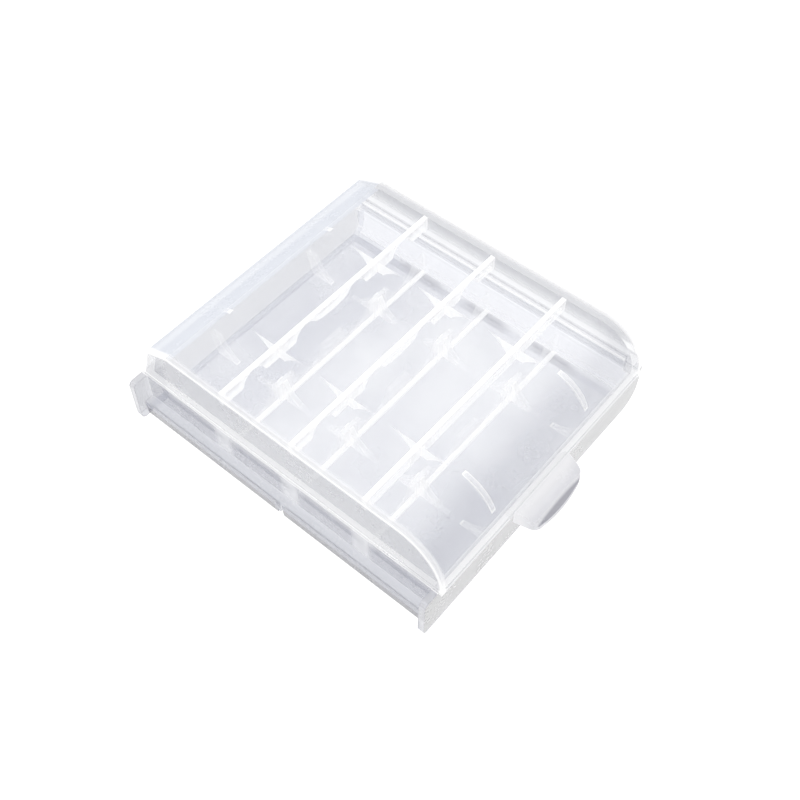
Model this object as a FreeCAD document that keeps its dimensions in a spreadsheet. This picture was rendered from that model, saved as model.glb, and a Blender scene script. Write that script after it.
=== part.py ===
import FreeCAD, Part
import math
import os

import Sketcher

# Flip-lid case for a row of round cells lying side by side.  A shallow tray and a taller lid
# are moulded together and joined by a thin web along one long side.  X runs along the cells
# and the hinge, the hinge is at +Y, the thumb tab at -Y, and the tray's feet stand on Z = 0.
# The origin is under the middle of the whole case.

CELLS = 4
RIBS = CELLS - 1

# Every driving size, in millimetres.
SIZES = {
    # the bay that holds the cells
    "cell_pitch": 15.2,
    "bay_length": 52.2,
    "bay_height": 14.6,
    "wall": 1.2,
    # levels
    "foot_height": 2.3,
    "floor_thickness": 1.4,
    "base_height": 9.5,
    "parting_gap": 0.1,
    # cross-section of the lid: a quarter round at the latch, a bevel and a lean at the hinge
    "latch_margin": 8.6,
    "hinge_margin": 11.1,
    "round_radius": 8.9,
    "bevel_width": 5.2,
    "bevel_drop": 2.1,
    "hinge_lean": 2.5,
    "end_round": 0.5,
    "rim_bead": 0.15,
    "rim_bead_height": 0.8,
    # walls of the tray, set in or out from the lid's rim
    "latch_step": 0.6,
    "hinge_step": 0.4,
    "base_lean": 1.5,
    # the tray's long walls run on past its ends, and its floor past the near end
    "near_reach": 3.2,
    "far_reach": 1.9,
    "ledge_reach": 1.8,
    "foot_round": 4.0,
    "ear_round": 1.0,
    "gate_offset": 1.0,
    "gate_width": 1.3,
    "gate_length": 0.4,
    # half-lap lip that stands up from the tray's far end into the lid
    "lip_height": 3.0,
    "lip_thickness": 0.5,
    "lip_clearance": 0.15,
    "lip_inset": 1.0,
    # ribs between the cells
    "rib_thickness": 0.9,
    "base_rib_setback": 1.0,
    "base_notch_web": 1.0,
    "lid_rib_depth": 2.8,
    "lid_notch_web": 0.3,
    "lid_wave_rise": 0.5,
    "lid_wave_sag": 0.6,
    "notch_corner": 0.7,
    # cross ribs and gussets, hollowed to a cradle circle round each cell
    "station_margin": 0.9,
    "cross_thickness": 1.0,
    "cradle_play": 0.1,
    "side_cradle_play": 0.9,
    "hinge_gusset_foot": 1.2,
    "round_gusset_radius": 12.0,
    "round_gusset_start": 1.0,
    "round_gusset_end": 2.6,
    # thumb tab on the lid's rim, and the ridge that it snaps over
    "tab_offset": 1.9,
    "tab_root_width": 14.8,
    "tab_front_width": 12.6,
    "tab_side": 3.7,
    "tab_reach": 4.25,
    "tab_crease": 3.3,
    "tab_fall": 0.9,
    "tab_rise": 0.9,
    "tab_drop": 3.2,
    "tab_smile": 1.6,
    "tab_corner": 1.8,
    "catch_width": 7.0,
    "catch_height": 0.5,
    "catch_length": 1.0,
    "catch_depth": 1.6,
    # living hinge
    "web_margin": 2.1,
    "web_reach": 1.5,
    "web_rise": 1.0,
    "web_thickness": 0.35,
    "land_height": 1.2,
    "land_gap": 0.05,
}

document = FreeCAD.newDocument("CellCase")
sheet = document.addObject("Spreadsheet::Sheet", "Sizes")
for row, (alias, value) in enumerate(SIZES.items(), start=1):
    sheet.set(f"A{row}", alias)
    sheet.set(f"B{row}", str(value))
    sheet.setAlias(f"B{row}", alias)
document.recompute()


class Size:
    """A length together with the spreadsheet expression that gives it."""

    def __init__(self, number, text):
        self.number = number
        self.text = text

    def __add__(self, other):
        other = as_size(other)
        return Size(self.number + other.number, f"({self.text} + {other.text})")

    def __sub__(self, other):
        other = as_size(other)
        return Size(self.number - other.number, f"({self.text} - {other.text})")

    def __mul__(self, other):
        other = as_size(other)
        return Size(self.number * other.number, f"{self.text} * {other.text}")

    def __truediv__(self, other):
        other = as_size(other)
        return Size(self.number / other.number, f"({self.text}) / ({other.text})")

    def __radd__(self, other):
        return as_size(other) + self

    def __rsub__(self, other):
        return as_size(other) - self

    def __rmul__(self, other):
        return as_size(other) * self

    def __neg__(self):
        return Size(-self.number, f"(0 - {self.text})")


def as_size(value):
    if isinstance(value, Size):
        return value
    return Size(float(value), f"({float(value)})")


def root(size):
    return Size(math.sqrt(size.number), f"sqrt({size.text})")


def cell(alias):
    """The spreadsheet cell of that name."""
    return Size(SIZES[alias], f"Sizes.{alias}")


def half_chord(radius, distance):
    """Half the chord of a circle at this distance from its centre."""
    return root(radius * radius - distance * distance)


def bow_radius(half_width, rise):
    """Radius of the arc that rises this much over this half width."""
    return (half_width * half_width + rise * rise) / (2 * rise)


# Levels and reaches that several sub-parts share.
wall = cell("wall")
half_bay = cell("bay_length") / 2
half_case = half_bay + wall
bay_shift = (cell("near_reach") - cell("far_reach")) / 2
near_end = -(half_case + cell("near_reach"))
far_end = half_case + cell("far_reach")

underside = cell("foot_height")
floor_top = underside + cell("floor_thickness")
ceiling = floor_top + cell("bay_height")
lid_top = ceiling + wall
base_rim = cell("base_height")
lid_rim = base_rim + cell("parting_gap")
cell_level = floor_top + cell("bay_height") / 2

outer_row = cell("cell_pitch") * (RIBS / 2)
lid_latch = -(outer_row + cell("latch_margin"))
lid_hinge = outer_row + cell("hinge_margin")
base_latch = lid_latch + cell("latch_step")
base_hinge = lid_hinge + cell("hinge_step")
base_latch_inside = base_latch + wall
base_hinge_rail = base_hinge - wall
base_hinge_inside = lid_hinge - wall
base_hinge_foot = base_hinge_inside - cell("base_lean")

lid_rib_edge = ceiling - cell("lid_rib_depth")
lid_notch_radius = cell("lid_rib_depth") - cell("lid_notch_web")
base_rib_edge = base_rim - cell("base_rib_setback")
base_notch_radius = base_rib_edge - floor_top - cell("base_notch_web")
station = cell("bay_length") / 4 - cell("station_margin") / 2
cradle = cell("bay_height") / 2 + cell("cradle_play")
side_cradle = cell("bay_height") / 2 + cell("side_cradle_play")
web_length = cell("bay_length") - 2 * cell("web_margin")


def new_body(label, x=0, y=0):
    """A body in its own node, shifted so that the origin is under the middle of the case."""
    body = document.addObject("PartDesign::Body", label)
    body.Label = label
    body.AllowCompound = True
    body.setExpression(".Placement.Base.x", (bay_shift + x).text)
    body.setExpression(".Placement.Base.y", as_size(y).text)
    return body


def new_sketch(body, role, offset=0):
    """A sketch on one of the body's origin planes, moved along that plane's normal."""
    plane = next(item for item in body.Origin.OriginFeatures if item.Role == role)
    sketch = body.newObject("Sketcher::SketchObject", body.Label + "_sketch")
    sketch.AttachmentSupport = (plane, "")
    sketch.MapMode = "FlatFace"
    sketch.setExpression(".AttachmentOffset.Base.z", as_size(offset).text)
    return sketch


def outline(sketch, corners, arcs=None):
    """Add one closed, fully constrained outline.

    corners holds (x, y) pairs; arcs maps the number of an edge to (centre x, centre y, turn),
    where turn is 1 for an anticlockwise arc and -1 for a clockwise one.
    """
    arcs = arcs or {}
    corners = [(as_size(x), as_size(y)) for x, y in corners]
    points = [FreeCAD.Vector(x.number, y.number, 0) for x, y in corners]
    count = len(corners)
    ends = []
    for edge in range(count):
        start, end = points[edge], points[(edge + 1) % count]
        if edge in arcs:
            ends.append(add_arc(sketch, start, end, arcs[edge]))
        else:
            ends.append((sketch.addGeometry(Part.LineSegment(start, end)), 1, 2))
    for edge, (line, first, last) in enumerate(ends):
        after, after_first, _ = ends[(edge + 1) % count]
        sketch.addConstraint(Sketcher.Constraint("Coincident", line, last, after, after_first))
        place(sketch, line, first, corners[edge])
        if edge in arcs:
            centre_x, centre_y, _ = arcs[edge]
            chord = points[(edge + 1) % count] - points[edge]
            if abs(chord.x) > abs(chord.y):
                pin(sketch, "DistanceY", line, 3, centre_y)
            else:
                pin(sketch, "DistanceX", line, 3, centre_x)


def add_arc(sketch, start, end, arc):
    centre_x, centre_y, turn = arc
    centre = FreeCAD.Vector(as_size(centre_x).number, as_size(centre_y).number, 0)
    first, last = (start, end) if turn > 0 else (end, start)
    begin = math.atan2(first.y - centre.y, first.x - centre.x)
    finish = math.atan2(last.y - centre.y, last.x - centre.x)
    if finish <= begin:
        finish += 2 * math.pi
    circle = Part.Circle(centre, FreeCAD.Vector(0, 0, 1), (first - centre).Length)
    number = sketch.addGeometry(Part.ArcOfCircle(circle, begin, finish))
    return (number, 1, 2) if turn > 0 else (number, 2, 1)


def pin(sketch, kind, geometry, end, size):
    """Hold one coordinate of a point at a distance from the sketch's origin."""
    size = as_size(size)
    held = sketch.addConstraint(Sketcher.Constraint(kind, -1, 1, geometry, end, size.number))
    sketch.setExpression(f"Constraints[{held}]", size.text)


def place(sketch, geometry, end, corner):
    pin(sketch, "DistanceX", geometry, end, corner[0])
    pin(sketch, "DistanceY", geometry, end, corner[1])


def circle(sketch, centre_x, centre_y, radius):
    centre = FreeCAD.Vector(as_size(centre_x).number, as_size(centre_y).number, 0)
    ring = Part.Circle(centre, FreeCAD.Vector(0, 0, 1), radius.number)
    number = sketch.addGeometry(ring)
    place(sketch, number, 3, (centre_x, centre_y))
    held = sketch.addConstraint(Sketcher.Constraint("Radius", number, radius.number))
    sketch.setExpression(f"Constraints[{held}]", radius.text)


def box_corners(low_x, low_y, high_x, high_y):
    return [(low_x, low_y), (high_x, low_y), (high_x, high_y), (low_x, high_y)]


def pad(body, sketch, length, centred=False):
    """Thicken a sketch along its normal, or to both sides of its plane."""
    feature = body.newObject("PartDesign::Pad", body.Label + "_pad")
    feature.Profile = sketch
    if centred:
        feature.SideType = "Symmetric"
    feature.setExpression("Length", as_size(length).text)
    sketch.Visibility = False
    document.recompute()
    return feature


def pocket(body, sketch, length, centred=False):
    """Cut a sketch's outline away along the plane's normal, and prove that it cut."""
    before = body.Shape.Volume
    feature = body.newObject("PartDesign::Pocket", body.Label + "_pocket")
    feature.Profile = sketch
    if centred:
        feature.SideType = "Symmetric"
    else:
        feature.Reversed = True
    feature.setExpression("Length", as_size(length).text)
    sketch.Visibility = False
    document.recompute()
    if body.Shape.Volume > before - 0.01:
        raise RuntimeError(f"{feature.Name} cut nothing from {body.Label}")
    return feature


def mirror(body, features, role):
    """Repeat features on the other side of one of the body's origin planes."""
    plane = next(item for item in body.Origin.OriginFeatures if item.Role == role)
    feature_copy = body.newObject("PartDesign::Mirrored", body.Label + "_mirror")
    feature_copy.Originals = features
    feature_copy.MirrorPlane = (plane, [""])
    body.Tip = feature_copy
    document.recompute()
    return feature_copy


def round_edges(body, radius, wanted):
    """Fillet the edges of the body's last feature whose bounding box is wanted."""
    last = body.Tip
    names = [
        f"Edge{number}"
        for number, edge in enumerate(last.Shape.Edges, start=1)
        if wanted(edge.BoundBox)
    ]
    if not names:
        raise RuntimeError(f"no edge of {body.Label} to round")
    feature = body.newObject("PartDesign::Fillet", body.Label + "_fillet")
    feature.Base = (last, names)
    feature.setExpression("Radius", as_size(radius).text)
    document.recompute()
    return feature


def near(value, size):
    return abs(value - as_size(size).number) < 1e-4


def build_base_tray():
    """Floor, four walls, the feet under them, the near ledge, the far lip and the catch."""
    body = new_body("base_tray")

    # One cross-section runs the length of the bay: two walls on their feet and the floor.
    section = new_sketch(body, "YZ_Plane", -half_case)
    outline(section, [
        (base_latch, 0),
        (base_latch_inside, 0),
        (base_latch_inside, underside),
        (base_hinge_rail, underside),
        (base_hinge_rail, 0),
        (base_hinge, 0),
        (base_hinge, base_rim),
        (base_hinge_inside, base_rim),
        (base_hinge_foot, floor_top),
        (base_latch_inside, floor_top),
        (base_latch_inside, base_rim),
        (base_latch, base_rim),
    ])
    pad(body, section, 2 * half_case)

    near_wall = new_sketch(body, "YZ_Plane", -half_case)
    outline(near_wall, box_corners(base_latch, underside, base_hinge, base_rim))
    pad(body, near_wall, wall)

    far_wall = new_sketch(body, "YZ_Plane", half_bay)
    outline(far_wall, box_corners(base_latch, 0, base_hinge, base_rim))
    pad(body, far_wall, wall)

    # The long walls run on past both ends as ears.
    ears = new_sketch(body, "YZ_Plane", near_end)
    outline(ears, box_corners(base_latch, 0, base_latch_inside, base_rim))
    outline(ears, box_corners(base_hinge_rail, 0, base_hinge, base_rim))
    pad(body, ears, far_end - near_end)

    ledge_end = -(half_case + cell("ledge_reach"))
    ledge = new_sketch(body, "YZ_Plane", ledge_end)
    outline(ledge, box_corners(base_latch_inside, underside, base_hinge_rail, floor_top))
    pad(body, ledge, cell("ledge_reach"))

    # The moulding gate leaves a short stub in the middle of the ledge's edge.
    gate = new_sketch(body, "YZ_Plane", ledge_end - cell("gate_length"))
    gate_low = cell("gate_offset") - cell("gate_width") / 2
    gate_high = cell("gate_offset") + cell("gate_width") / 2
    outline(gate, box_corners(gate_low, underside, gate_high, floor_top))
    pad(body, gate, cell("gate_length"))

    lip = new_sketch(body, "YZ_Plane", half_bay)
    lip_low = base_latch_inside + cell("lip_inset")
    lip_high = base_hinge_inside - cell("lip_inset") - cell("lip_thickness")
    outline(lip, box_corners(lip_low, base_rim, lip_high, base_rim + cell("lip_height")))
    pad(body, lip, cell("lip_thickness"))

    # The ridge that the thumb tab snaps over.
    ridge_centre = base_rim - cell("catch_depth")
    ridge = new_sketch(body, "YZ_Plane", -cell("tab_offset") - cell("catch_width") / 2)
    outline(ridge, [
        (base_latch + wall / 2, ridge_centre - cell("catch_length") / 2),
        (base_latch + wall / 2, ridge_centre + cell("catch_length") / 2),
        (base_latch, ridge_centre + cell("catch_length") / 2),
        (base_latch - cell("catch_height"), ridge_centre),
        (base_latch, ridge_centre - cell("catch_length") / 2),
    ])
    pad(body, ridge, cell("catch_width"))

    # The far ends of the feet are rounded up from the ground.
    turn = cell("foot_round")
    far_foot = new_sketch(body, "XZ_Plane", -base_hinge)
    outline(far_foot, [
        (far_end - turn, 0),
        (far_end, turn),
        (far_end + 1, turn),
        (far_end + 1, -1),
        (far_end - turn, -1),
    ], {0: (far_end - turn, turn, 1)})
    pocket(body, far_foot, base_hinge - base_latch)

    def near_corner(box):
        level = near(box.ZMin, box.ZMax)
        return level and near(box.XMin, near_end) and near(box.XMax, near_end)

    round_edges(body, cell("ear_round"), near_corner)
    return body


def rib_notches(edge_level, radius, turn):
    """Corners and arcs for the four notches along one long edge of a rib, from -X to +X."""
    corners = []
    arcs = {}
    for step in (-1.5, -0.5, 0.5, 1.5):
        middle = station * step
        arcs[len(corners)] = (middle, edge_level, turn)
        corners.append((middle - radius, edge_level))
        corners.append((middle + radius, edge_level))
    return corners, arcs


def build_base_rib(number, rib_y):
    """A rib between two cells, standing on the floor, with four round notches in its top."""
    body = new_body(f"base_rib_{number}", y=rib_y)
    corners, arcs = rib_notches(base_rib_edge, base_notch_radius, 1)
    sketch = new_sketch(body, "XZ_Plane")
    start = [(-half_bay, floor_top), (-half_bay, base_rib_edge)]
    outline(
        sketch,
        start + corners + [(half_bay, base_rib_edge), (half_bay, floor_top)],
        {edge + len(start): arc for edge, arc in arcs.items()},
    )
    pad(body, sketch, cell("rib_thickness"), centred=True)
    return body


def build_straight_lid_rib(number, rib_y):
    """The rib next to the latch hangs from the ceiling with a straight free edge."""
    body = new_body(f"lid_rib_{number}", y=rib_y)
    sketch = new_sketch(body, "XZ_Plane")
    outline(sketch, box_corners(-half_bay, lid_rib_edge, half_bay, ceiling))
    pad(body, sketch, cell("rib_thickness"), centred=True)
    return body


def build_waved_lid_rib(number, rib_y):
    """A rib that hangs from the ceiling, its free edge waved by notches with soft corners.

    Between the two middle notches it hangs less deep than elsewhere, in a shallow bow.
    """
    body = new_body(f"lid_rib_{number}", y=rib_y)
    corners, arcs = rib_notches(lid_rib_edge, lid_notch_radius, -1)
    rise, sag = cell("lid_wave_rise"), cell("lid_wave_sag")
    bow_end = station / 2 - half_chord(lid_notch_radius, rise + sag)
    bow_level = lid_rib_edge + rise + sag
    first = len(corners) // 2 - 1
    corners[first] = (-bow_end, bow_level)
    corners[first + 1] = (bow_end, bow_level)
    arcs[first] = (0, lid_rib_edge + rise + bow_radius(bow_end, sag), 1)
    sketch = new_sketch(body, "XZ_Plane")
    start = [(-half_bay, ceiling), (-half_bay, lid_rib_edge)]
    outline(
        sketch,
        start + corners + [(half_bay, lid_rib_edge), (half_bay, ceiling)],
        {edge + len(start): arc for edge, arc in arcs.items()},
    )
    pad(body, sketch, cell("rib_thickness"), centred=True)

    def notch_corner(box):
        across = near(box.XMin, box.XMax) and near(box.ZMin, box.ZMax)
        return across and any(near(box.XMin, x) and near(box.ZMin, z) for x, z in corners)

    round_edges(body, cell("notch_corner"), notch_corner)
    return body


def cut_cradle(body, centre_y, radius):
    """Cut a cell's cradle circle out of a plate at the station."""
    sketch = new_sketch(body, "YZ_Plane", station - cell("cross_thickness") / 2)
    circle(sketch, centre_y, cell_level, radius)
    return pocket(body, sketch, cell("cross_thickness"))


def build_cross_ribs(label, rib_y, level, edge):
    """Two plates across a rib, on both its faces, hollowed to the cradle circle of each cell.

    level is the floor or ceiling that the plates stand on, edge the free edge of the rib.
    """
    body = new_body(label, y=rib_y)
    face = cell("rib_thickness") / 2
    half_pitch = cell("cell_pitch") / 2
    sketch = new_sketch(body, "YZ_Plane", station - cell("cross_thickness") / 2)
    outline(sketch, box_corners(face, level, half_pitch, edge))
    outline(sketch, box_corners(-half_pitch, level, -face, edge))
    features = [pad(body, sketch, cell("cross_thickness"))]
    for centre_y in (half_pitch, -half_pitch):
        features.append(cut_cradle(body, centre_y, cradle))
    mirror(body, features, "YZ_Plane")
    return body


def build_gussets(label, corners, arcs=None, cell_y=None, radius=None):
    """A pair of gussets of one section, one at each station, perhaps hollowed for a cell."""
    body = new_body(label)
    sketch = new_sketch(body, "YZ_Plane", station - cell("cross_thickness") / 2)
    outline(sketch, corners, arcs)
    features = [pad(body, sketch, cell("cross_thickness"))]
    if cell_y is not None:
        features.append(cut_cradle(body, cell_y, radius))
    mirror(body, features, "YZ_Plane")
    return body


def lean_at(level):
    """Where the inside of the tray's leaning hinge wall is at this height."""
    share = (level - floor_top) / (base_rim - floor_top)
    return base_hinge_foot + cell("base_lean") * share


def build_base_hinge_gussets():
    return build_gussets("base_hinge_gussets", [
        (outer_row, floor_top),
        (base_hinge_foot, floor_top),
        (lean_at(base_rib_edge), base_rib_edge),
        (outer_row, base_rib_edge),
    ], cell_y=outer_row, radius=side_cradle)


def build_base_latch_gussets():
    section = box_corners(base_latch_inside, floor_top, -outer_row, base_rib_edge)
    return build_gussets("base_latch_gussets", section, cell_y=-outer_row, radius=cradle)


# The lid's outer section, and the same lines moved in by the wall.
round_middle = lid_latch + cell("round_radius")
round_level = lid_top - cell("round_radius")
inner_round = cell("round_radius") - wall
shoulder = lid_hinge - cell("hinge_lean")
shoulder_level = lid_top - cell("bevel_drop")
crown_end = shoulder - cell("bevel_width")

bevel_slope = cell("bevel_drop") / cell("bevel_width")
lean_slope = cell("hinge_lean") / (shoulder_level - lid_rim)
bevel_offset = wall * root(1 + bevel_slope * bevel_slope)
lean_offset = wall * root(1 + lean_slope * lean_slope)
corner_shift = (lean_slope * bevel_offset - lean_offset) / (1 - lean_slope * bevel_slope)

inner_crown_end = crown_end + (wall - bevel_offset) / bevel_slope
inner_shoulder = shoulder + corner_shift
inner_shoulder_level = shoulder_level - corner_shift * bevel_slope - bevel_offset
inner_hinge = lid_hinge - lean_offset


def arc_centre(start, end, radius):
    """Centre of the arc of this radius that turns clockwise from start to end."""
    across, up = end[0] - start[0], end[1] - start[1]
    chord = root(across * across + up * up)
    away = half_chord(radius, chord / 2)
    return (
        (start[0] + end[0]) / 2 + up * away / chord,
        (start[1] + end[1]) / 2 - across * away / chord,
    )


def build_lid_shell():
    """Open-bottomed cover: one section run between two end walls, with a bead at its rim."""
    body = new_body("lid_shell")
    section = new_sketch(body, "YZ_Plane", -half_case)
    outline(section, [
        (lid_latch, lid_rim),
        (lid_latch, round_level),
        (round_middle, lid_top),
        (crown_end, lid_top),
        (shoulder, shoulder_level),
        (lid_hinge, lid_rim),
    ], {1: (round_middle, round_level, -1)})
    pad(body, section, 2 * half_case)

    def end_edge(box):
        ends = (half_case, -half_case)
        at_end = any(near(box.XMin, x) and near(box.XMax, x) for x in ends)
        return at_end and not near(box.ZMax, lid_rim)

    round_edges(body, cell("end_round"), end_edge)

    hollow = new_sketch(body, "YZ_Plane", -half_bay)
    outline(hollow, [
        (lid_latch + wall, lid_rim),
        (lid_latch + wall, round_level),
        (round_middle, ceiling),
        (inner_crown_end, ceiling),
        (inner_shoulder, inner_shoulder_level),
        (inner_hinge, lid_rim),
    ], {1: (round_middle, round_level, -1)})
    pocket(body, hollow, 2 * half_bay)

    bead = new_sketch(body, "XY_Plane", lid_rim)
    reach = cell("rim_bead")
    outline(bead, box_corners(
        -half_case - reach, lid_latch - reach, half_case + reach, lid_hinge + reach,
    ))
    outline(bead, box_corners(
        wall / 2 - half_case, lid_latch + wall / 2, half_case - wall / 2, lid_hinge - wall / 2,
    ))
    pad(body, bead, cell("rim_bead_height"))

    # The land along the hinge side that the web is joined to.
    land = new_sketch(body, "XY_Plane", lid_rim)
    half_land = web_length / 2
    outline(land, box_corners(
        -half_land, lid_hinge - wall / 2, half_land, base_hinge - cell("land_gap"),
    ))
    pad(body, land, cell("land_height"))

    # Half of the far wall's thickness is cut back for the tray's lip.
    rabbet = new_sketch(body, "YZ_Plane", half_bay)
    gap = cell("lip_clearance")
    outline(rabbet, box_corners(
        base_latch_inside + cell("lip_inset") - gap,
        base_rim,
        base_hinge_inside - cell("lip_inset") - cell("lip_thickness") + gap,
        base_rim + cell("lip_height") + gap,
    ))
    pocket(body, rabbet, cell("lip_thickness") + gap)
    return body


def build_lid_hinge_gussets():
    """Small webs in the corner under the bevel, down to the free edge of the ribs."""
    foot = inner_shoulder + (inner_shoulder_level - lid_rib_edge) * lean_slope
    start = (foot - cell("hinge_gusset_foot"), lid_rib_edge)
    end = (inner_crown_end, ceiling)
    centre_y, centre_z = arc_centre(end, start, side_cradle)
    return build_gussets("lid_hinge_gussets", [
        end,
        start,
        (foot, lid_rib_edge),
        (inner_shoulder, inner_shoulder_level),
    ], {0: (centre_y, centre_z, -1)})


def build_lid_latch_gussets():
    """Shallow crescents inside the quarter round."""
    start_y = round_middle - cell("round_gusset_start")
    end_z = round_level + cell("round_gusset_end")
    start = (start_y, round_level + half_chord(inner_round, cell("round_gusset_start")))
    end = (round_middle - half_chord(inner_round, cell("round_gusset_end")), end_z)
    centre_y, centre_z = arc_centre(end, start, cell("round_gusset_radius"))
    return build_gussets("lid_latch_gussets", [start, end], {
        0: (round_middle, round_level, 1),
        1: (centre_y, centre_z, -1),
    })


def build_thumb_tab():
    """A tab that flares from the rim, crowned on top, with a bowed front and lower edge."""
    body = new_body("thumb_tab")
    middle = -cell("tab_offset")
    root_y = lid_latch - cell("rim_bead")
    half_root = cell("tab_root_width") / 2
    half_front = cell("tab_front_width") / 2
    low = lid_rim - cell("tab_drop")
    crown = lid_rim + cell("tab_rise")
    front = root_y - cell("tab_reach")

    plan = new_sketch(body, "XY_Plane", low)
    bow = bow_radius(half_front, cell("tab_reach") - cell("tab_side"))
    outline(plan, [
        (middle - half_root, root_y),
        (middle + half_root, root_y),
        (middle + half_front, root_y - cell("tab_side")),
        (middle - half_front, root_y - cell("tab_side")),
    ], {2: (middle, front + bow, -1)})
    pad(body, plan, crown - low)

    corners = ((middle + half_front).number, (middle - half_front).number)

    def front_corner(box):
        return not near(box.ZMin, box.ZMax) and any(near(box.XMin, x) for x in corners)

    round_edges(body, cell("tab_corner"), front_corner)

    smile = new_sketch(body, "XZ_Plane", -root_y)
    half_smile = half_root + 1
    smile_radius = bow_radius(half_smile, cell("tab_smile"))
    outline(smile, [
        (middle - half_smile, low - 1),
        (middle + half_smile, low - 1),
        (middle + half_smile, low + cell("tab_smile")),
        (middle - half_smile, low + cell("tab_smile")),
    ], {2: (middle, low + smile_radius, -1)})
    pocket(body, smile, cell("tab_reach") + 1)

    top = new_sketch(body, "YZ_Plane", middle - half_root - 1)
    crease = root_y - cell("tab_crease")
    crown_radius = bow_radius(cell("tab_crease"), cell("tab_fall"))
    outline(top, [
        (root_y, crown),
        (crease, crown - cell("tab_fall")),
        (front, low),
        (front - 1, low),
        (front - 1, crown + 1),
        (root_y, crown + 1),
    ], {0: (root_y, crown - crown_radius, 1)})
    pocket(body, top, 2 * half_root + 2)
    return body


def build_living_hinge():
    """The thin web that folds behind the two hinge walls while the case is shut."""
    body = new_body("living_hinge")
    middle = (base_rim + lid_rim) / 2
    thickness = cell("web_thickness")
    rise, reach = cell("web_rise"), cell("web_reach")
    outer = base_hinge + reach - bow_radius(rise, reach)
    inner = base_hinge + reach - thickness - bow_radius(rise - thickness, reach - thickness)
    sketch = new_sketch(body, "YZ_Plane")
    outline(sketch, [
        (base_hinge, middle - rise),
        (base_hinge, middle + rise),
        (base_hinge, middle + rise - thickness),
        (base_hinge, middle - rise + thickness),
    ], {0: (outer, middle, 1), 2: (inner, middle, -1)})
    pad(body, sketch, web_length, centred=True)
    return body


nodes = [build_base_tray()]
for number in range(1, RIBS + 1):
    rib_y = cell("cell_pitch") * (number - (RIBS + 1) / 2)
    nodes.append(build_base_rib(number, rib_y))
    nodes.append(build_cross_ribs(f"base_cross_ribs_{number}", rib_y, floor_top, base_rib_edge))
    build_lid_rib = build_straight_lid_rib if number == 1 else build_waved_lid_rib
    nodes.append(build_lid_rib(number, rib_y))
    nodes.append(build_cross_ribs(f"lid_cross_ribs_{number}", rib_y, ceiling, lid_rib_edge))
nodes.append(build_base_hinge_gussets())
nodes.append(build_base_latch_gussets())
nodes.append(build_lid_shell())
nodes.append(build_lid_hinge_gussets())
nodes.append(build_lid_latch_gussets())
nodes.append(build_thumb_tab())
nodes.append(build_living_hinge())

document.recompute()
for item in document.Objects:
    if "Invalid" in item.State or "Error" in item.State:
        raise RuntimeError(f"{item.Label} failed: {item.State}")
os.makedirs("parts", exist_ok=True)
for node in nodes:
    if node.Shape.isNull() or not node.Shape.isValid():
        raise RuntimeError(f"{node.Label} has no valid shape")
    node.Shape.exportStep(f"parts/{node.Label}.step")
    box = node.Shape.BoundBox
    print(
        f"{node.Label}: {len(node.Shape.Solids)} solids, {node.Shape.Volume:.1f} mm3, "
        f"X {box.XMin:.2f} {box.XMax:.2f}  Y {box.YMin:.2f} {box.YMax:.2f}  "
        f"Z {box.ZMin:.2f} {box.ZMax:.2f}"
    )
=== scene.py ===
import math

import bpy
import bmesh
from mathutils import Matrix, Vector


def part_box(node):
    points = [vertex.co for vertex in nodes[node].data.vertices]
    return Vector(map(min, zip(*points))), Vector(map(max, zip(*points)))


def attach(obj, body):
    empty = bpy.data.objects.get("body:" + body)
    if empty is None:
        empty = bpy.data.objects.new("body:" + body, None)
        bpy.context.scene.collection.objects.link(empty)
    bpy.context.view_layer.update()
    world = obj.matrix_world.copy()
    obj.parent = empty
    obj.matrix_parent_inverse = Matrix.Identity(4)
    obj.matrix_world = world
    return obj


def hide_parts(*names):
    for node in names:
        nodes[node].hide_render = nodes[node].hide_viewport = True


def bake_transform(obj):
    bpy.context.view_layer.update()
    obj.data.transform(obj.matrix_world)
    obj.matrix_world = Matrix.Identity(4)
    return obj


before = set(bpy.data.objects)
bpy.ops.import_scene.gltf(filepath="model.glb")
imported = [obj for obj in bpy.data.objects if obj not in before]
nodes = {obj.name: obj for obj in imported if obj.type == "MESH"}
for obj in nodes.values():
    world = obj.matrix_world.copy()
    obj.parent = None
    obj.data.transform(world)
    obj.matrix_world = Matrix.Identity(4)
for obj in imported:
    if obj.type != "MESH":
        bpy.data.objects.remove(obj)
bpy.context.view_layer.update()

# Tray: floor, four walls, ears, near ledge and the lip at the far end, all one moulding of
# natural polypropylene.  Flat walls are nearly clear and go grey where several lie behind each
# other, and the end and long walls are greyed further with painted shade; rims, corners and the
# roots of the ribs scatter the light and turn white.
MM = 0.001

# The plastic's skin: slow flow marks and a fine grain in a satin surface.  Sizes and depths are in
# millimetres; cover, the share of what lies behind that a wall hides, runs from 0 to 1.
WHITE = (1.0, 1.0, 1.0)
PLASTIC_IOR = 1.49
FLOW_SIZE = 7
GRAIN_SIZE = 0.6
FLOW_HEIGHT = 3
GRAIN_HEIGHT = 0.05
RIPPLE_STRENGTH = 0.06
RIPPLE_DEPTH = 0.1
SATIN = 0.26
GRAIN_SATIN = 0.08
FLOW_SATIN = 0.15
GLOSS = 0.12
EDGE_ON_BLEND = 0.35
EDGE_ON_COVER = 0.10
MOST_COVER = 0.97
LIGHT_THROUGH = 0.97

# How far a face may turn before it stops counting as square to an axis, and how far a rounded
# corner turns before it counts as one.
TURNED_AWAY = 0.5
SQUARE_ON = 0.8
FLAT = 0.99
SHARP = 0.80
CORNER_SAMPLES = 6

# The Mix node's sockets for two colours and for the colour that comes out.
FIRST_COLOUR = 6
SECOND_COLOUR = 7
MIXED_COLOUR = 2


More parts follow.
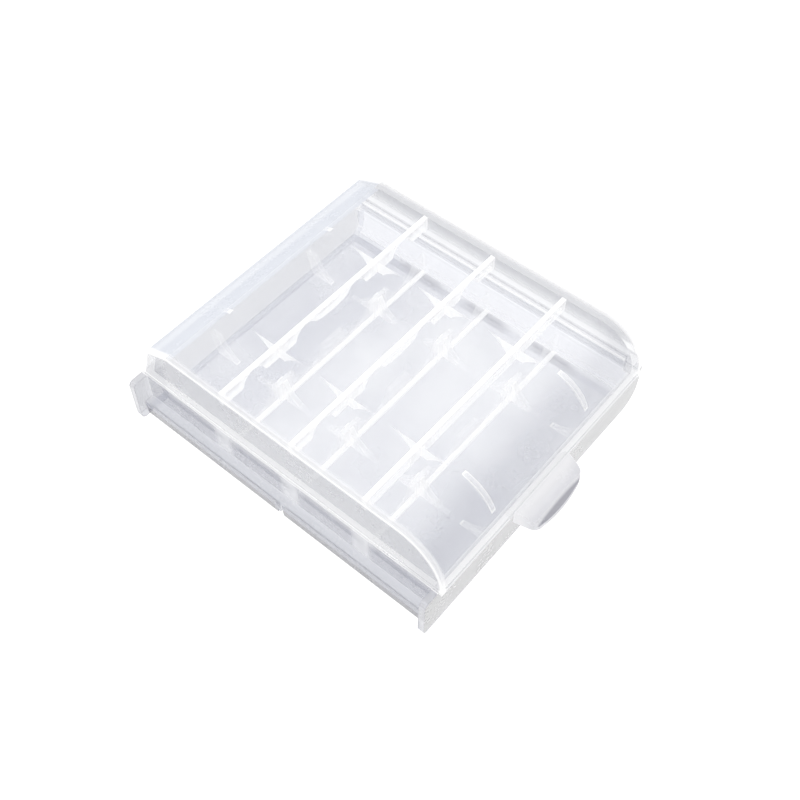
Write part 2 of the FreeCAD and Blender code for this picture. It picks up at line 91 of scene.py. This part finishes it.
class Wire:
    """A value in a finish; arithmetic on it adds Math nodes."""

    def __init__(self, finish, socket):
        self.finish = finish
        self.socket = socket

    def math(self, operation, first, second):
        return self.finish.node("Math", {"operation": operation}, {0: first, 1: second})

    def __add__(self, other):
        return self.math("ADD", self, other)

    def __radd__(self, other):
        return self.math("ADD", other, self)

    def __sub__(self, other):
        return self.math("SUBTRACT", self, other)

    def __rsub__(self, other):
        return self.math("SUBTRACT", other, self)

    def __mul__(self, other):
        return self.math("MULTIPLY", self, other)

    def __rmul__(self, other):
        return self.math("MULTIPLY", other, self)

    def __truediv__(self, other):
        return self.math("DIVIDE", self, other)

    def __rtruediv__(self, other):
        return self.math("DIVIDE", other, self)

    def __pow__(self, other):
        return self.math("POWER", self, other)

    def __rpow__(self, other):
        return self.math("POWER", other, self)

    def __neg__(self):
        return self.math("MULTIPLY", self, -1)

    def __abs__(self):
        return self.math("ABSOLUTE", self, 0)

    def above(self, other):
        """The larger of two values."""
        return self.math("MAXIMUM", self, other)

    def below(self, other):
        """The smaller of two values."""
        return self.math("MINIMUM", self, other)


class Finish:
    """One material, built node by node."""

    def __init__(self, name):
        self.material = bpy.data.materials.new(name)
        self.material.use_nodes = True
        self.tree = self.material.node_tree
        self.tree.nodes.clear()

    def node(self, kind, settings=None, sockets=None, output=0):
        """Add a node: first its settings, then the values or wires of its sockets."""
        node = self.tree.nodes.new("ShaderNode" + kind)
        for name, value in (settings or {}).items():
            setattr(node, name, value)
        for name, value in (sockets or {}).items():
            if isinstance(value, Wire):
                self.tree.links.new(value.socket, node.inputs[name])
            else:
                node.inputs[name].default_value = value
        return Wire(self, node.outputs[output]) if node.outputs else None

    def ramp(self, value, low, high):
        """A smooth step from 0 where value is low to 1 where it is high."""
        return self.node("MapRange", {"interpolation_type": "SMOOTHSTEP"}, {
            "Value": value, "From Min": low, "From Max": high,
        })

    def band(self, value, centre, half_width, soft):
        """1 where value is within half_width of centre, fading out over soft."""
        return self.ramp(abs(value - centre), half_width + soft, half_width)

    def clouds(self, size):
        """Soft lumps of about this size in millimetres, from 0 to 1."""
        return self.node("TexNoise", None, {
            "Vector": self.node("TexCoord", output="Object"), "Scale": 1 / (size * MM),
        })

    def part(self, coordinate, axis):
        """One part of the surface's place or of the way that it faces."""
        whole = self.node("TexCoord", output=coordinate)
        return self.node("SeparateXYZ", None, {0: whole}, output=axis)

    def along(self):
        """Millimetres along the bay, from its middle to the far end."""
        return self.part("Object", "X") / MM - BAY_MIDDLE

    def across(self):
        """Millimetres across the case, from its middle to the hinge."""
        return self.part("Object", "Y") / MM

    def up(self):
        """Millimetres up from the ground."""
        return self.part("Object", "Z") / MM

    def facing(self, axis):
        """1 on faces that look along X, the bay's length, along Y or along Z."""
        return self.ramp(abs(self.part("Normal", axis)), TURNED_AWAY, SQUARE_ON)

    def edges(self, width):
        """1 along the corners of the moulding to this width, where light gathers."""
        rounded = self.node("Bevel", {"samples": CORNER_SAMPLES}, {"Radius": width * MM})
        face = self.node("NewGeometry", output="True Normal")
        flatness = self.node("VectorMath", {"operation": "DOT_PRODUCT"}, {
            0: rounded, 1: face,
        }, output="Value")
        return self.ramp(abs(flatness), FLAT, SHARP)

    def outer(self):
        """1 on the side of a wall that the light enters, 0 on the side where it leaves."""
        return 1 - self.node("NewGeometry", output="Backfacing")

    def blend(self, amount, first, second):
        """The first colour where amount is 0 and the second where it is 1."""
        return self.node("Mix", {"data_type": "RGBA"}, {
            "Factor": amount, FIRST_COLOUR: colour(first), SECOND_COLOUR: colour(second),
        }, output=MIXED_COLOUR)

    def plastic(self, cover, body_colour, tint):
        """Natural polypropylene that hides what is behind it as far as cover says."""
        flow = self.clouds(FLOW_SIZE)
        grain = self.clouds(GRAIN_SIZE)
        edge_on = self.node("LayerWeight", None, {"Blend": EDGE_ON_BLEND}, output="Facing")
        cover = (cover + edge_on * edge_on * EDGE_ON_COVER).above(0).below(MOST_COVER)
        ripple = self.node("Bump", None, {
            "Strength": RIPPLE_STRENGTH,
            "Distance": RIPPLE_DEPTH * MM,
            "Height": grain * GRAIN_HEIGHT + flow * FLOW_HEIGHT,
        })
        body = self.node("BsdfPrincipled", None, {
            "Base Color": colour(body_colour),
            "IOR": PLASTIC_IOR,
            "Normal": ripple,
            "Roughness": SATIN + (grain - 0.5) * GRAIN_SATIN + (flow - 0.5) * FLOW_SATIN,
        })
        clear = self.node("BsdfTransparent", None, {"Color": colour(tint)})
        gloss = self.node("BsdfGlossy", None, {
            "Color": colour(WHITE), "Roughness": GLOSS, "Normal": ripple,
        })
        shine = self.node("Fresnel", None, {"IOR": PLASTIC_IOR}) * self.outer()
        wall = self.node("MixShader", None, {0: cover, 1: clear, 2: body})
        surface = self.node("MixShader", None, {0: shine, 1: wall, 2: gloss})

        # Most lamp and floor light comes through the thin walls to what is inside.
        lamps = self.node("LightPath", output="Is Shadow Ray")
        bounces = self.node("LightPath", output="Is Diffuse Ray")
        open_air = self.node("BsdfTransparent", None, {"Color": colour(WHITE)})
        lit = self.node("MixShader", None, {
            0: lamps.above(bounces) * LIGHT_THROUGH, 1: surface, 2: open_air,
        })
        self.node("OutputMaterial", None, {"Surface": lit})
        return self.material


def colour(value):
    """A colour as a socket takes it."""
    return value if isinstance(value, Wire) else (*value, 1.0)


def paint(names, material):
    """Give CAD nodes a finish."""
    for name in names:
        slots = nodes[name].material_slots
        for slot in slots:
            slot.material = material
        if not slots:
            nodes[name].data.materials.append(material)


def corners(name):
    """Lowest and highest corner of a CAD node, in millimetres."""
    return [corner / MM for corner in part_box(name)]


# Sizes in millimetres.  The bay is the room between the tray's end walls, as long as a rib; the
# catch that the thumb tab snaps over stands out from the latch side.
RIB_NUMBERS = (1, 2, 3)
rib_low, rib_high = corners("base_rib_2")
tray_low, tray_high = corners("base_tray")
BAY_MIDDLE = (rib_low.x + rib_high.x) / 2
HALF_BAY = (rib_high.x - rib_low.x) / 2
FLOOR_TOP = rib_low.z
FLOOR_THICK = 1.4
WALL = 1.2
HALF_TRAY = HALF_BAY + WALL
TRAY_RIM = 9.5
LIP_TOP = tray_high.z
CATCH = 0.5
LATCH_FACE = -tray_low.y - CATCH
HINGE_FACE = tray_high.y
TRAY_MIDDLE = (HINGE_FACE - LATCH_FACE) / 2
EAR_INSIDE = (HINGE_FACE + LATCH_FACE) / 2 - WALL
LEDGE_REACH = 1.8
LEDGE_END = HALF_TRAY + LEDGE_REACH
RIB_ROWS = [
    sum(corner.y for corner in corners(f"base_rib_{number}")) / 2 for number in RIB_NUMBERS
]

TRAY_TINT = (0.895, 0.900, 0.922)
# Painted shade for the near end wall, the long walls and the ledge's end face, and a painted
# shadow grey.
END_WALL_SHADE = (0.38, 0.385, 0.43)
SIDE_WALL_SHADE = (0.35, 0.35, 0.355)
FLOOR_MILK = (0.50, 0.51, 0.57)
SHELF_GREY = (0.54, 0.55, 0.59)
LEDGE_FACE_SHADE = (0.36, 0.37, 0.42)
SHADOW = (0.34, 0.34, 0.38)
EAR_GREY = (0.62, 0.62, 0.65)

# The painted highlight on the floor lies a little askew, on the latch side of the middle.
TRAY_FLOW_SIZE = 11
HIGHLIGHT_SLANT = 0.15
HIGHLIGHT_MIDDLE = -3
HIGHLIGHT_HALF = 10
HIGHLIGHT_FADE = 16


def rows(finish, across, half_width, soft):
    """1 within half_width of each of the three rows of ribs, fading out over soft."""
    marks = [finish.band(across, row, half_width, soft) for row in RIB_ROWS]
    return marks[0].above(marks[1]).above(marks[2])


tray = Finish("tray_plastic")
along = tray.along()
across = tray.across()
up = tray.up()
end_face = tray.facing("X")
side_face = tray.facing("Y")
level = tray.facing("Z")
edge = tray.edges(0.4)
flow = tray.clouds(TRAY_FLOW_SIZE)

# Where each surface is: a mark starts a few tenths of a millimetre short of its face.
inside = tray.ramp(abs(along), HALF_BAY, HALF_BAY - 0.2)
near_end = end_face * tray.ramp(-along, HALF_BAY - 0.3, HALF_BAY - 0.1)
far_end = end_face * tray.ramp(along, HALF_BAY - 0.2, HALF_BAY - 0.1)
latch_side = side_face * tray.ramp(-across, LATCH_FACE - 0.4, LATCH_FACE - 0.2)
hinge_side = side_face * tray.ramp(across, HINGE_FACE - 0.4, HINGE_FACE - 0.2)
long_sides = latch_side.above(hinge_side)
ears = tray.ramp(-along, HALF_TRAY + 0.1, HALF_TRAY + 0.3)
ears = ears * tray.ramp(abs(across - TRAY_MIDDLE), EAR_INSIDE - 0.35, EAR_INSIDE - 0.05)
rim = tray.ramp(up, TRAY_RIM - 0.4, TRAY_RIM - 0.2) * tray.ramp(up, TRAY_RIM + 0.2, TRAY_RIM)
rim = rim * (1 - long_sides) * (1 - ears)
lip = tray.ramp(up, LIP_TOP - 0.7, LIP_TOP - 0.4)
shelf = level * tray.ramp(-along, HALF_TRAY - 0.1, HALF_TRAY)
ledge_edge = end_face * tray.ramp(-along, LEDGE_END - 0.2, LEDGE_END - 0.1)
ledge_edge = ledge_edge * tray.ramp(up, FLOOR_TOP + 0.1, FLOOR_TOP)
ledge_edge = ledge_edge * tray.ramp(across, HINGE_FACE - 0.3, HINGE_FACE - 1.3)
ledge_edge = ledge_edge * tray.ramp(-across, LATCH_FACE - 0.3, LATCH_FACE - 1.1)

# Light and shade on them: white roots and foot lines, cloudy milk under a painted highlight, and
# painted shadow in the far seams, along the foot of the latch side and on the ears' edges.
roots = rows(tray, across, 0.35, 0.25) * level * inside * tray.band(up, FLOOR_TOP, 0.1, 0.1)
foot_line = tray.band(up, FLOOR_TOP, 0.15, 0.25) * far_end
rib_glow = near_end * rows(tray, across, 1.0, 1.6) * (1 - ledge_edge)
far_seam = level * tray.band(along, HALF_BAY - 0.9, 0.4, 0.4) * rows(tray, across, 3, 4)
ground_line = latch_side * tray.ramp(up, 0.45, 0.25)
# Painted highlight: a lighter band across the floor; the flow noise adds the plastic's own uneven
# milk.
floor_highlight = tray.band(across + along * HIGHLIGHT_SLANT, HIGHLIGHT_MIDDLE, HIGHLIGHT_HALF, HIGHLIGHT_FADE)
milk_and_highlight = (level * (floor_highlight * 0.42 + 0.08 + (flow - 0.5) * 0.9)).above(0).below(1)

cover = (
    0.05
    + flow * 0.05
    + level * 0.26
    + near_end * 0.42
    + latch_side * 0.80
    + hinge_side * 0.25
    + edge * (1 - long_sides) * (1 - ears) * 0.30
    + roots * 0.9
    + lip * 0.9
    + rim * 0.15
    + ears * (0.08 + edge * 0.35)
    + foot_line * 0.7
    + shelf * 0.15
    + ledge_edge * 0.50
    + far_seam * 0.25
)
# The floor goes from milk towards white in the painted highlight.
shade = tray.blend(level * (1 - milk_and_highlight), WHITE, FLOOR_MILK)
# Painted shade greys the near end wall, lifted where the ribs meet it.
shade = tray.blend(near_end * (1 - rib_glow * 0.6), shade, END_WALL_SHADE)
shade = tray.blend(shelf, shade, SHELF_GREY)
shade = tray.blend(ears, shade, EAR_GREY)
# Painted shade greys the long walls, most on the latch side.
shade = tray.blend(long_sides, shade, SIDE_WALL_SHADE)
shade = tray.blend(ears * edge, shade, SHADOW)
# Painted shade greys the ledge's end face.
shade = tray.blend(ledge_edge, shade, LEDGE_FACE_SHADE)
shade = tray.blend(far_seam.above(ground_line), shade, SHADOW)
shade = tray.blend(roots.above(rim).above(lip).above(foot_line), shade, WHITE)
paint(["base_tray"], tray.plastic(cover, shade, TRAY_TINT))

# Skirt under the near ledge: a thin wall from the floor's underside almost to the ground, in two
# runs with the stub of the moulding gate between them.  It is coloured near black as painted shade
# under the ledge, darker towards the bottom, with a painted highlight on its rounded lower edge.
SKIRT_TOP = FLOOR_TOP - FLOOR_THICK
SKIRT_FOOT = 0.1
SKIRT_THICK = 0.8
SKIRT_LEAN = 0.12
SKIRT_ROUND = 0.3
ROUND_STEPS = 5
GATE_START = 0.35
GATE_END = 1.65
SKIRT_RUNS = ((WALL - LATCH_FACE, GATE_START), (GATE_END, HINGE_FACE - WALL))

SKIRT_SHADE_TOP = (0.14, 0.14, 0.18)
SKIRT_SHADE_BOTTOM = (0.05, 0.05, 0.08)
SKIRT_BEAD_HIGHLIGHT = (0.88, 0.88, 0.90)


def skin(shape, outlines):
    """Stretch faces over a row of outlines and close both ends."""
    for near, far in zip(outlines, outlines[1:]):
        for corner in range(len(near)):
            after = (corner + 1) % len(near)
            shape.faces.new((near[corner], near[after], far[after], far[corner]))
    shape.faces.new(outlines[0][::-1])
    shape.faces.new(outlines[-1])


def add(name, data):
    """Put a new object in the scene."""
    item = bpy.data.objects.new(name, data)
    bpy.context.scene.collection.objects.link(item)
    return item


def solid(name, shape):
    """Put a closed shape in the scene as a piece."""
    bmesh.ops.recalc_face_normals(shape, faces=shape.faces)
    mesh = bpy.data.meshes.new(name)
    shape.to_mesh(mesh)
    shape.free()
    return add(name, mesh)


def skirt_outline():
    """The skirt's section, from its outer top edge round the foot to its inner top edge."""
    outer = BAY_MIDDLE - LEDGE_END
    inner = outer + SKIRT_THICK
    turns = [math.radians(90 * step / ROUND_STEPS) for step in range(ROUND_STEPS + 1)]
    foot = [
        (SKIRT_LEAN + SKIRT_ROUND * (1 - math.cos(turn)),
         SKIRT_FOOT + SKIRT_ROUND * (1 - math.sin(turn)))
        for turn in turns
    ]
    outer_foot = [(outer + inset, height) for inset, height in foot]
    inner_foot = [(inner - inset, height) for inset, height in foot]
    return [(outer, SKIRT_TOP), *outer_foot, *inner_foot[::-1], (inner, SKIRT_TOP)]


skirt_shape = bmesh.new()
for run in SKIRT_RUNS:
    skin(skirt_shape, [
        [skirt_shape.verts.new(Vector((x, y, z)) * MM) for x, z in skirt_outline()] for y in run
    ])
skirt = solid("ledge_skirt", skirt_shape)

skirt_shade_finish = Finish("skirt_shade_finish")
up = skirt_shade_finish.up()
# Painted shade, darker towards the bottom, and a painted highlight along the rounded foot.
low = skirt_shade_finish.ramp(up, SKIRT_TOP - 0.2, SKIRT_TOP - 1.3)
bead = skirt_shade_finish.ramp(up, SKIRT_FOOT + 0.24, SKIRT_FOOT + 0.14)
cover = 0.90 + skirt_shade_finish.clouds(6) * 0.06
shade = skirt_shade_finish.blend(low, SKIRT_SHADE_TOP, SKIRT_SHADE_BOTTOM)
shade = skirt_shade_finish.blend(bead, shade, SKIRT_BEAD_HIGHLIGHT)
skirt.data.materials.append(skirt_shade_finish.plastic(cover, shade, TRAY_TINT))
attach(skirt, "base")

# Ribs between the cells in the tray.  Each grows out of the floor on a thick root that shows as
# a white line; its thin sides are faintly milky and their notched tops hardly show.
RIB_TINT = (0.985, 0.985, 0.99)
CROSS_THICK = 1.0
cross_low, cross_high = corners("base_cross_ribs_2")
STATION = (cross_high.x - cross_low.x - CROSS_THICK) / 2

ribs = Finish("tray_rib_plastic")
side_face = ribs.facing("Y")
root = ribs.ramp(ribs.up(), FLOOR_TOP + 0.35, FLOOR_TOP + 0.05)
posts = ribs.band(abs(ribs.along()), STATION, 0.6, 2.5)
cover = (
    side_face * 0.16
    + (1 - side_face) * 0.12
    + root * 0.85
    + posts * 0.25
    + ribs.edges(0.3) * 0.12
)
paint([f"base_rib_{number}" for number in RIB_NUMBERS], ribs.plastic(cover, WHITE, RIB_TINT))

# Cross ribs in the tray: thin webs moulded across each rib at two stations and hollowed to the
# round of a cell.  They are white where they meet the rib and fade out towards their tips.
tray_webs = Finish("tray_web_plastic")
across = tray_webs.across()
standing = tray_webs.ramp(tray_webs.up(), FLOOR_TOP + 0.02, FLOOR_TOP + 0.1)
near_rib = rows(tray_webs, across, 0.8, 1.8) * 0.7
arms = rows(tray_webs, across, 3.4, 1.6) * (0.30 + tray_webs.edges(0.4) * 0.25)
cover = near_rib.above(arms) * standing * tray_webs.outer()
paint(
    [f"base_cross_ribs_{number}" for number in RIB_NUMBERS],
    tray_webs.plastic(cover, WHITE, RIB_TINT),
)

# Gussets in the tray: thin webs in the angle between the floor and each long wall, in line with
# the cross ribs.  Their flat sides are clear, so they show mainly as thin outlines.
tray_gussets = Finish("tray_gusset_plastic")
cover = 0.12 + tray_gussets.edges(0.3) * 0.45
paint(
    ["base_hinge_gussets", "base_latch_gussets"],
    tray_gussets.plastic(cover, WHITE, RIB_TINT),
)

# Lid: one clear cover with a quarter round at the latch and a frosted bevel at the hinge.  Its
# end walls meet the top in a thick corner that shows as a white band.
lid_low, lid_high = corners("lid_shell")
LID_TOP = lid_high.z
LID_RIM = lid_low.z
CEILING = LID_TOP - WALL
RIM_BEAD = 0.15
BEAD_HEIGHT = 0.8
LATCH = lid_low.y + RIM_BEAD
HINGE = lid_high.y - RIM_BEAD
ROUND = 8.9
LEAN = 2.5
BEVEL_WIDTH = 5.2
BEVEL_DROP = 2.1
BEVEL_FOOT = LID_TOP - BEVEL_DROP
CROWN_END = HINGE - LEAN - BEVEL_WIDTH
CORNER = 1.0

# The round is greyed with painted shade from TURN_START to TURN_END, counted from the middle
# towards the latch; the far end wall has a painted reflection of the tray's lip, a light bar at
# the height of LIP_REFLECTION_HEIGHT.
TURN_START = 21
TURN_END = 28
LIP_REFLECTION_HEIGHT = 14.6

LID_FLOW_SIZE = 9
LID_TINT = (0.982, 0.984, 0.990)
LID_WALL_SHADE = (0.42, 0.425, 0.46)
FROST = (0.67, 0.70, 0.77)


def depth_in_section(across, up):
    """How deep a point lies under the outline of the lid's cross-section, in millimetres."""
    beyond = (LATCH + ROUND - across).above(0)
    over = (up - (LID_TOP - ROUND)).above(0)
    under_round = ROUND - (beyond * beyond + over * over) ** 0.5
    bevel_slope = BEVEL_DROP / BEVEL_WIDTH
    under_bevel = LID_TOP - up - (across - CROWN_END) * bevel_slope
    under_bevel = under_bevel / math.hypot(1, bevel_slope)
    lean_slope = LEAN / (BEVEL_FOOT - LID_RIM)
    under_lean = HINGE - across - (up - LID_RIM) * lean_slope
    under_lean = under_lean / math.hypot(1, lean_slope)
    return under_round.below(under_bevel).below(under_lean)


lid = Finish("lid_plastic")
along = lid.along()
across = lid.across()
up = lid.up()
end_face = lid.facing("X")
side_face = lid.facing("Y")
flow = lid.clouds(LID_FLOW_SIZE)

# The white corner band, the frosted bevel and the painted shade on the round where it turns down.
corner = lid.ramp(HALF_TRAY - abs(along), CORNER + 0.45, CORNER - 0.35)
corner = corner * lid.ramp(depth_in_section(across, up), 0.9, 0.3)
bevel = lid.ramp(across, CROWN_END - 0.05, CROWN_END + 0.1) * (1 - end_face)
bevel = bevel * lid.ramp(up, BEVEL_FOOT - 2, BEVEL_FOOT - 1)
turned = lid.ramp(-across, TURN_START, TURN_END) * (1 - end_face)

# The far end wall has a painted reflection of the lip, a light bar at mid height, with a greyer
# part above it and a clearer one below.
far_end = end_face * lid.ramp(along, 0, 1)
# Painted reflection of the tray's lip on the far end wall.
lip_reflection = far_end * lid.band(up, LIP_REFLECTION_HEIGHT, 0.4, 0.7)
far_high = far_end * lid.ramp(up, LIP_REFLECTION_HEIGHT + 1.2, LIP_REFLECTION_HEIGHT + 1.8)
far_low = far_end * lid.ramp(up, LIP_REFLECTION_HEIGHT - 1.0, LIP_REFLECTION_HEIGHT - 1.6)

# The rim: a bead all round it, and the bright line where it parts from the tray.
bead = lid.ramp(up, LID_RIM + BEAD_HEIGHT + 0.05, LID_RIM + BEAD_HEIGHT - 0.15)
bead = bead * (0.04 + side_face * 0.20)
parting = lid.ramp(up, LID_RIM + 0.32, LID_RIM + 0.12) * (0.75 - side_face * 0.45)

cover = (
    0.03
    + flow * 0.06
    + corner * 0.36
    + bead
    + parting
    + bevel * 0.60
    + end_face * 0.40
    + far_high * 0.12
    - far_low * 0.22
    + turned * 0.08
    + lid.edges(0.3) * 0.2
)
# Painted shade greys the end walls and the turned-down round; the corner band, the parting line
# and the painted reflection on the far wall stay white.
grey = end_face.above(turned) * (1 - corner) * (1 - parting) * (1 - lip_reflection)
shade = lid.blend(grey, WHITE, LID_WALL_SHADE)
shade = lid.blend(bevel * (1 - corner), shade, FROST)
paint(["lid_shell"], lid.plastic(cover, shade, LID_TINT))

# Ribs that hang under the lid.  Their roots in the top and their free lower edges are thick and
# white, the thin sides between are translucent, and they are solid white round the cross ribs.
lid_ribs = Finish("lid_rib_plastic")
along = lid_ribs.along()
side_face = lid_ribs.facing("Y")
root = lid_ribs.ramp(lid_ribs.up(), CEILING - 0.5, CEILING - 0.2)
posts = lid_ribs.band(abs(along), STATION, 1.2, 2.2)
tips = lid_ribs.ramp(abs(along), HALF_BAY - 0.9, HALF_BAY - 0.3)
cover = (
    side_face * 0.30
    + (1 - side_face) * 0.90
    + root * 0.5
    + posts * 0.5
    + tips * 0.6
    + lid_ribs.edges(0.35) * 0.5
)
paint([f"lid_rib_{number}" for number in RIB_NUMBERS], lid_ribs.plastic(cover, WHITE, RIB_TINT))

# Cross ribs under the lid, moulded across each rib like those in the tray.  They are white
# throughout and thin to a point at their tips, where they are a little clearer.
lid_webs = Finish("lid_web_plastic")
hanging = lid_webs.ramp(lid_webs.up(), CEILING - 0.02, CEILING - 0.1)
near_rib = rows(lid_webs, lid_webs.across(), 2.4, 3.1)
cover = (0.45 + near_rib * 0.52) * hanging * lid_webs.outer()
paint(
    [f"lid_cross_ribs_{number}" for number in RIB_NUMBERS],
    lid_webs.plastic(cover, WHITE, RIB_TINT),
)

# Gussets in the corners of the lid's section, moulded with it: crescents in the quarter round
# and leaves under the bevel.  Both are clear inside a white outline.
lid_gussets = Finish("lid_gusset_plastic")
cover = 0.25 + lid_gussets.edges(0.4) * 0.95
paint(
    ["lid_hinge_gussets", "lid_latch_gussets"],
    lid_gussets.plastic(cover, WHITE, RIB_TINT),
)

# Thumb tab on the lid's rim: a hook with a rounded top that carries a painted highlight near the
# rim and painted shade further out, and a hollow in its front whose dark lens is painted shade
# between light edges.
tab_low, tab_high = corners("thumb_tab")
TAB_MIDDLE = (tab_low.x + tab_high.x) / 2 - BAY_MIDDLE
TAB_TIP = -tab_low.y
LENS_HALF = 5.8
LENS_FOOT = tab_low.z + 0.45
LENS_TOP = tab_low.z + 3.0
LENS_FOOT_BOW = 1.1
LENS_TOP_BOW = 0.5
TAB_RIM_HIGHLIGHT = (0.80, 0.80, 0.82)
TAB_LILAC_SHADE = (0.63, 0.63, 0.67)
TAB_HOLLOW_SHADE = (0.20, 0.20, 0.25)

tab = Finish("tab_plastic")
across = tab.across()
up = tab.up()
bow = ((tab.along() - TAB_MIDDLE) / LENS_HALF) ** 2
front = tab.ramp(-across, TAB_TIP - 1.15, TAB_TIP - 0.95)
# Painted shade: the dark lens in the hollow of the front.
lens = front * tab.ramp(up - (LENS_FOOT + bow * LENS_FOOT_BOW), 0, 0.2)
lens = lens * tab.ramp(up - (LENS_TOP - bow * LENS_TOP_BOW), 0.1, -1.0)
lens = lens * tab.ramp(bow, 1.1, 0.9)
reach = tab.ramp(-across, TAB_TIP - 3.6, TAB_TIP - 1.2)
cover = 0.70 + tab.edges(0.5) * 0.25 + lens * 0.2
# Painted highlight near the rim, painted shade towards the tip and in the lens.
shade = tab.blend(reach, TAB_RIM_HIGHLIGHT, TAB_LILAC_SHADE)
shade = tab.blend(lens, shade, TAB_HOLLOW_SHADE)
paint(["thumb_tab"], tab.plastic(cover, shade, LID_TINT))

# Living hinge: one thin web of the same plastic that joins tray and lid along the back.  It is
# moulded with them, thinned along its middle where it folds.
web_low, web_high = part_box("living_hinge")
WEB_FOLDS = 16
WEB_RUNS = 24
WEB_THICK = 0.35 * MM
WEB_THIN = 0.22 * MM


def folded_web():
    """A strip folded outward between its two lands, thinner along the fold."""
    half_rise = (web_high.z - web_low.z - WEB_THICK) / 2
    bulge = web_high.y - web_low.y - WEB_THICK / 2
    middle = (web_high.z + web_low.z) / 2
    radius = (half_rise ** 2 + bulge ** 2) / (2 * bulge)
    sweep = math.atan2(half_rise, radius - bulge)
    strip = bmesh.new()
    rings = []
    for run in range(WEB_RUNS + 1):
        x = web_low.x + (web_high.x - web_low.x) * run / WEB_RUNS
        ring = []
        for side in (1, -1):
            for step in range(WEB_FOLDS + 1)[::side]:
                turn = (2 * step / WEB_FOLDS - 1) * sweep
                thick = WEB_THIN + (WEB_THICK - WEB_THIN) * abs(turn / sweep)
                reach = radius + side * thick / 2
                y = web_low.y + bulge - radius + reach * math.cos(turn)
                z = middle + reach * math.sin(turn)
                ring.append(strip.verts.new((x, max(y, web_low.y), z)))
        rings.append(ring)
    skin(strip, rings)
    return solid("living_web", strip)


web = folded_web()
web_plastic = Finish("web_plastic")
cover = 0.25 + web_plastic.edges(0.3) * 0.4
web.data.materials.append(web_plastic.plastic(cover, WHITE, LID_TINT))
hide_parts("living_hinge")
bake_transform(web)

# Floor: plain white card that runs out of sight just under the feet.  It keeps the case's shadow
# and is lifted a little where it is seen straight on, in a reflection or through the plastic.
FLOOR_DROP = 0.1 * MM
FLOOR_HALF = 3.0
FLOOR_GLOW = 0.15
CARD_WHITE = (0.90, 0.90, 0.90)
BLACK = (0.0, 0.0, 0.0)

floor_finish = Finish("floor_white")
straight = floor_finish.node("LightPath", output="Is Camera Ray")
glossy = floor_finish.node("LightPath", output="Is Glossy Ray")
through = floor_finish.node("LightPath", output="Is Transmission Ray")
seen = straight.above(glossy).above(through)
card = floor_finish.node("BsdfDiffuse", None, {"Color": colour(CARD_WHITE)})
glow = floor_finish.node("Emission", None, {
    "Color": floor_finish.blend(seen, BLACK, WHITE), "Strength": FLOOR_GLOW,
})
floor_finish.node("OutputMaterial", None, {
    "Surface": floor_finish.node("AddShader", None, {0: card, 1: glow}),
})
sheet = bmesh.new()
bmesh.ops.create_grid(sheet, x_segments=1, y_segments=1, size=FLOOR_HALF)
floor_mesh = bpy.data.meshes.new("floor")
sheet.to_mesh(floor_mesh)
sheet.free()
floor_mesh.materials.append(floor_finish.material)
floor = add("floor", floor_mesh)
floor.location.z = -FLOOR_DROP

# Studio: an even white surround, and one soft key lamp that stands over the hinge side and looks
# at the middle of the case.
SURROUND_STRENGTH = 1.0
KEY_SPOT = (-0.2, 0.15, 0.5)
KEY_AIM = (0, 0, 0.01)
KEY_SIZE = 0.5
KEY_POWER = 0.5

world = bpy.data.worlds.new("studio")
world.use_nodes = True
surround = world.node_tree.nodes["Background"]
surround.inputs["Color"].default_value = colour(WHITE)
surround.inputs["Strength"].default_value = SURROUND_STRENGTH
bpy.context.scene.world = world

lamp = bpy.data.lights.new("key", "AREA")
lamp.size = KEY_SIZE
lamp.energy = KEY_POWER
key = add("key", lamp)
key.location = KEY_SPOT
key.rotation_euler = (Vector(KEY_AIM) - key.location).to_track_quat("-Z", "Y").to_euler()

# Camera: it looks down on the case over its near left corner, from a point 20 cm away from the
# middle of the tray's underside, and is rolled by less than a degree.  A line of sight may pass
# many of the thin walls.
CAMERA_SPOT = (-88.27, -73.38, 161.03)
AZIMUTH = math.radians(-50.69)
ELEVATION = math.radians(53.92)
ROLL = math.radians(-0.65)
FOCAL_LENGTH = 49.98
FILM_WIDTH = 36
NEAREST = 0.01
FARTHEST = 20
MOST_WALLS = 64

back = Vector((
    math.sin(AZIMUTH) * math.cos(ELEVATION),
    -math.cos(AZIMUTH) * math.cos(ELEVATION),
    math.sin(ELEVATION),
))
right = Vector((math.cos(AZIMUTH), math.sin(AZIMUTH), 0))
over = back.cross(right)
rolled = Matrix((
    right * math.cos(ROLL) - over * math.sin(ROLL),
    right * math.sin(ROLL) + over * math.cos(ROLL),
    back,
)).transposed().to_4x4()
optics = bpy.data.cameras.new("camera")
optics.lens = FOCAL_LENGTH
optics.sensor_width = FILM_WIDTH
optics.clip_start = NEAREST
optics.clip_end = FARTHEST
camera = add("camera", optics)
camera.matrix_world = Matrix.Translation(Vector(CAMERA_SPOT) * MM) @ rolled
scene = bpy.context.scene
scene.camera = camera
scene.view_settings.view_transform = "Standard"
scene.cycles.transparent_max_bounces = MOST_WALLS
